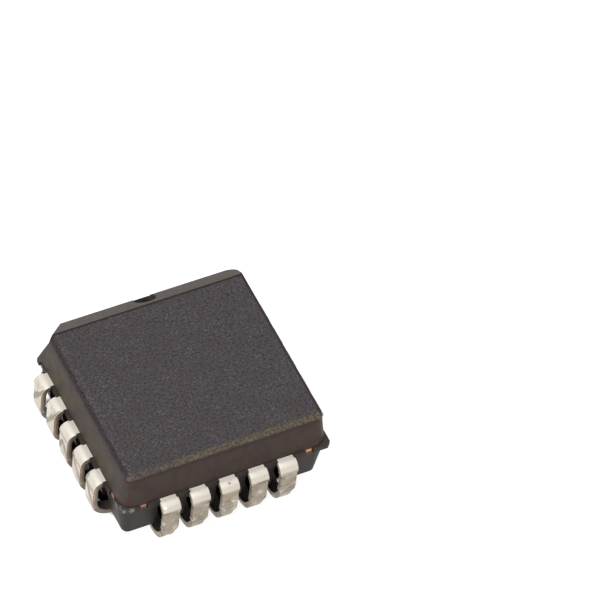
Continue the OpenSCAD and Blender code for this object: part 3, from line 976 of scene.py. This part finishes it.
@dataclass(frozen=True)
class PaleFloor:
    """Plain white board with the faintest tooth and a painted shadow under the chip.

    Attributes:
        lee: Middle of the painted shadow, in millimetres.
        spread: How far the patch reaches from there.
        rim: Where it ends, in shares of the spread to the fourth power.
        far: Where it ends towards the far sides.
    """

    board: Colour = ink(162, 162, 161)
    dip: Colour = ink(159, 159, 158)
    shade: Colour = ink(12, 8, 9)
    white: Colour = ink(255, 255, 255)
    black: Colour = ink(0, 0, 0)
    lee: tuple[float, float] = (0.2, 0.8)
    spread: float = 4.5
    rim: Band = (1.1, 0.9)
    far: Band = (3.8, 3.4)
    glow: float = 0.85

    def build(self) -> bpy.types.Material:
        """The finished material."""
        paint = Paint("pale_floor")
        tooth = paint.cloud(0.8, 2.0)
        east = abs(paint.x - self.lee[0]) / self.spread
        north = abs(paint.y - self.lee[1]) / self.spread
        # painted shadow: a dark patch on the floor under the chip
        under_chip = (east ** 4 + north ** 4).rise(*self.rim)
        under_chip = under_chip * paint.x.most(paint.y).rise(*self.far)
        colour = paint.blend(tooth, self.board, self.dip)
        colour = paint.blend(under_chip, colour, self.shade)
        # the floor's glow stops under the painted shadow
        glow = paint.blend(under_chip, self.white, self.black)
        return paint.surface(Base_Color=colour, Roughness=0.9, Specular_IOR_Level=0.0,
                             Emission_Color=glow, Emission_Strength=self.glow,
                             Normal=paint.bump(tooth, 0.002))


@dataclass
class Moulding:
    """The black moulded body with its flange, stand-off block and pockets."""

    frame: dict

    def dress(self) -> tuple[MouldedEpoxy, bpy.types.Material]:
        """Gives the body its compound, and returns the finish and its material."""
        low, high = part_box("body")
        compound = MouldedEpoxy(half_width=high.x / MM - FLANGE_OUT, top=high.z / MM,
                                frame_top=frame_level(), floor=low.z / MM)
        material = compound.build()
        paint_node(self.frame["nodes"]["body"], material)
        return compound, material


@dataclass
class FormedLeads:
    """The twenty J leads, each a copy of its CAD solid with softened stamped edges."""

    frame: dict
    edge: float = 0.022
    steps: int = 2
    weld: float = 1e-7
    flat_under: float = math.radians(0.5)
    sharp_over: float = math.radians(32)
    smooth_under: float = math.radians(51.2)

    def build(self) -> list[bpy.types.Object]:
        """Makes and dresses the leads, and returns them."""
        tin = TinPlate().build()
        return [self._plated(f"lead_{number:02d}", tin) for number in range(1, LEADS + 1)]

    def _plated(self, name: str, tin: bpy.types.Material) -> bpy.types.Object:
        """One lead with rounded edges.

        Args:
            name: The CAD node that it stands for.
            tin: Its material.

        Returns:
            The new piece.
        """
        shape = bmesh.new()
        shape.from_mesh(self.frame["nodes"][name].data)
        bmesh.ops.remove_doubles(shape, verts=shape.verts, dist=self.weld)
        bmesh.ops.dissolve_limit(shape, angle_limit=self.flat_under, verts=shape.verts,
                                 edges=shape.edges)
        sharp = [e for e in shape.edges
                 if e.is_manifold and e.calc_face_angle(0) > self.sharp_over]
        bmesh.ops.bevel(shape, geom=sharp, offset=self.edge * MM, segments=self.steps,
                        profile=0.5, affect="EDGES", material=-1, clamp_overlap=True)
        bmesh.ops.triangulate(shape, faces=[f for f in shape.faces if len(f.verts) > 4])
        for face in shape.faces:
            face.smooth = True
        for edge in shape.edges:
            edge.smooth = edge.is_manifold and edge.calc_face_angle(0) < self.smooth_under
        piece = new_piece(f"{name}_plated", shape, tin)
        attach(piece, ROOT_BODY)
        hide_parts(name)
        return piece


@dataclass
class MouldLeavings:
    """What moulding leaves: flash beside the leads, gate crumbs and a dial of raised ticks."""

    compound: MouldedEpoxy
    material: bpy.types.Material
    seed: int = 7
    rough: float = 0.24
    flash_width: Band = (0.06, 0.14)
    flash_height: Band = (0.08, 0.2)
    flash_drop: Band = (0.01, 0.07)
    flash_out: Band = (0.08, 0.18)
    flash_gap: float = 0.01
    flash_edge: float = 0.012
    crumbs: int = 11
    crumb_size: Band = (0.04, 0.08)
    crumb_back: Band = (0.0, 0.05)
    crumb_drop: Band = (-0.05, 0.05)
    crumb_edge: float = 0.01
    gate_turn: float = math.radians(135)
    gate_reach: float = 5.69
    gate_half: float = 0.5
    gate_drop: float = 0.31
    ticks: int = 20
    tick_length: Band = (0.14, 0.27)
    tick_size: tuple[float, float] = (0.036, 0.02)
    tick_reach: float = 0.88
    tick_edge: float = 0.006
    disc_depth: float = 0.05

    def build(self) -> list[bpy.types.Object]:
        """Makes the three pieces and returns them."""
        chance = random.Random(self.seed)
        return [self._flash(chance), self._gate(chance), self._dial(chance)]

    def _lump(self, shape: bmesh.types.BMesh, chance: random.Random, at: Vector, size: Vector,
              turn: Matrix) -> None:
        """Adds a jagged grain: a block with each corner moved a little.

        Args:
            shape: What it is added to.
            chance: The random draws.
            at: Its middle in millimetres before the turn.
            size: Its length, width and height in millimetres.
            turn: The turn about the package's middle.
        """
        for vert in bmesh.ops.create_cube(shape, size=1.0)["verts"]:
            corner = [(c + chance.uniform(-self.rough, self.rough)) * s
                      for c, s in zip(vert.co, size)]
            vert.co = turn @ ((at + Vector(corner)) * MM)

    def _piece(self, name: str, shape: bmesh.types.BMesh, edge: float) -> bpy.types.Object:
        """Ends a piece: softened edges, compound, and its ride on the root.

        Args:
            name: The piece's name.
            shape: Its mesh in metres; it is freed here.
            edge: The bevel in millimetres.

        Returns:
            The piece.
        """
        bmesh.ops.bevel(shape, geom=list(shape.edges), offset=edge * MM, segments=1,
                        profile=0.5, affect="EDGES", material=-1, clamp_overlap=True)
        piece = new_piece(name, shape, self.material)
        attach(piece, ROOT_BODY)
        return piece

    def _flash(self, chance: random.Random) -> bpy.types.Object:
        """Torn flash where each lead leaves the webs of the flange."""
        shape = bmesh.new()
        web = self.compound.half_width + FLANGE_OUT
        for side in Side:
            for number in range(LEADS_PER_SIDE):
                middle = (number - (LEADS_PER_SIDE - 1) / 2) * PITCH
                for edge in (-1, 1):
                    width = chance.uniform(*self.flash_width)
                    place = middle + edge * (LEAD_HALF_WIDTH + width / 2 + self.flash_gap)
                    height = chance.uniform(*self.flash_height)
                    drop = height / 2 + chance.uniform(*self.flash_drop)
                    level = self.compound.frame_top - drop
                    size = Vector((chance.uniform(*self.flash_out), width, height))
                    self._lump(shape, chance, Vector((web, place, level)), size, side.turn)
        return self._piece("resin_flash", shape, self.flash_edge)

    def _gate(self, chance: random.Random) -> bpy.types.Object:
        """Crumbs along the broken end of the gate's scar."""
        shape = bmesh.new()
        turn = Matrix.Rotation(self.gate_turn, 4, "Z")
        low = self.compound.frame_top - self.gate_drop
        for number in range(self.crumbs):
            place = (2 * (number + 0.5) / self.crumbs - 1) * self.gate_half
            size = Vector([chance.uniform(*self.crumb_size) for _ in range(3)])
            at = Vector((self.gate_reach - chance.uniform(*self.crumb_back), place,
                         low - chance.uniform(*self.crumb_drop)))
            self._lump(shape, chance, at, size, turn)
        return self._piece("gate_crumbs", shape, self.crumb_edge)

    def _dial(self, chance: random.Random) -> bpy.types.Object:
        """Short raised ticks round the shallow disc in the underside."""
        shape = bmesh.new()
        width, height = self.tick_size
        level = self.compound.floor + self.disc_depth
        outer = self.compound.disc * self.tick_reach
        for number in range(self.ticks):
            length = chance.uniform(*self.tick_length)
            middle = Vector((outer - length / 2, 0.0, level))
            turn = Matrix.Rotation(math.tau * number / self.ticks, 4, "Z")
            for vert in bmesh.ops.create_cube(shape, size=1.0)["verts"]:
                corner = Vector((vert.co.x * length, vert.co.y * width, vert.co.z * height * 2))
                vert.co = turn @ ((middle + corner) * MM)
        return self._piece("disc_ticks", shape, self.tick_edge)


@dataclass
class SealedParts:
    """What the moulding hides: die paddle, glue, die and bond wires."""

    frame: dict

    def dress(self) -> None:
        """Gives each sealed piece its finish."""
        nodes = self.frame["nodes"]
        low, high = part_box("driver_die")
        size = (high - low) / MM
        copper = RolledCopper(low=frame_level() - LEAD_THICKNESS).build()
        paint_node(nodes["die_paddle"], copper)
        paint_node(nodes["die_attach"], SilverGlue().build())
        paint_node(nodes["driver_die"],
                   DriverSilicon(length=size.x, width=size.y, face_level=high.z / MM).build())
        gold = DrawnGold().build()
        for number in range(1, LEADS + 1):
            paint_node(nodes[f"bond_wire_{number:02d}"], gold)


@dataclass(frozen=True)
class Studio:
    """Camera at the photograph's angle, a pale floor and soft light."""

    camera_at: Point = (-67.721, -122.820, 186.859)
    right: Point = (0.902112, -0.425059, 0.074286)
    ahead: Point = (0.316146, 0.533911, -0.784213)
    lens: float = 349.73
    shift: float = 0.0005
    sensor: float = 36.0
    clip: Band = (0.01, 10.0)
    floor_half: float = 600.0
    room_tint: Colour = (1.0, 0.985, 0.97)
    room_strength: float = 0.75
    key_at: Point = (-220.0, -120.0, 340.0)
    key_width: float = 260.0
    key_power: float = 1.1

    def build(self) -> None:
        """Sets up camera, floor, lights and the view's colour handling."""
        self._camera()
        self._floor()
        self._lights()
        scene = bpy.context.scene
        scene.view_settings.view_transform = "Standard"
        scene.view_settings.look = "None"

    def _camera(self) -> None:
        """The camera, placed as the photograph's own was."""
        lens = bpy.data.cameras.new("studio_camera")
        lens.lens = self.lens
        lens.sensor_width = self.sensor
        lens.shift_x = self.shift
        lens.clip_start, lens.clip_end = self.clip
        camera = new_object("studio_camera", lens)
        right, ahead = Vector(self.right), Vector(self.ahead)
        turn = Matrix((right, right.cross(ahead), -ahead)).transposed()
        camera.matrix_world = Matrix.Translation(Vector(self.camera_at) * MM) @ turn.to_4x4()
        bpy.context.scene.camera = camera

    def _floor(self) -> None:
        """A wide pale floor at the seating plane, with a painted shadow under the chip."""
        shape = bmesh.new()
        bmesh.ops.create_grid(shape, x_segments=1, y_segments=1, size=self.floor_half * MM)
        floor = new_piece("floor", shape, PaleFloor().build())

    def _lights(self) -> None:
        """An even bright room and one large soft lamp from the upper left."""
        world = bpy.data.worlds.new("studio_room")
        bpy.context.scene.world = world
        world.use_nodes = True
        room = world.node_tree.nodes["Background"]
        room.inputs["Color"].default_value = (*self.room_tint, 1.0)
        room.inputs["Strength"].default_value = self.room_strength
        lamp = bpy.data.lights.new("key", "AREA")
        lamp.size = self.key_width * MM
        lamp.energy = self.key_power
        at = Vector(self.key_at)
        holder = new_object("key", lamp)
        holder.location = at * MM
        holder.rotation_mode = "QUATERNION"
        holder.rotation_quaternion = (-at).to_track_quat("-Z", "Y")


def main() -> None:
    """Builds the chip's looks around the frame and logs the faces of each new piece."""
    logging.basicConfig(level=logging.INFO, format="%(message)s")
    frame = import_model()
    Studio().build()
    compound, material = Moulding(frame).dress()
    log.info("body dressed")
    for piece in MouldLeavings(compound, material).build():
        log.info("%s: %d faces", piece.name, len(piece.data.polygons))
    for piece in FormedLeads(frame).build():
        log.info("%s: %d faces", piece.name, len(piece.data.polygons))
    SealedParts(frame).dress()
    log.info("sealed parts dressed")


if __name__ == "__main__":
    main()
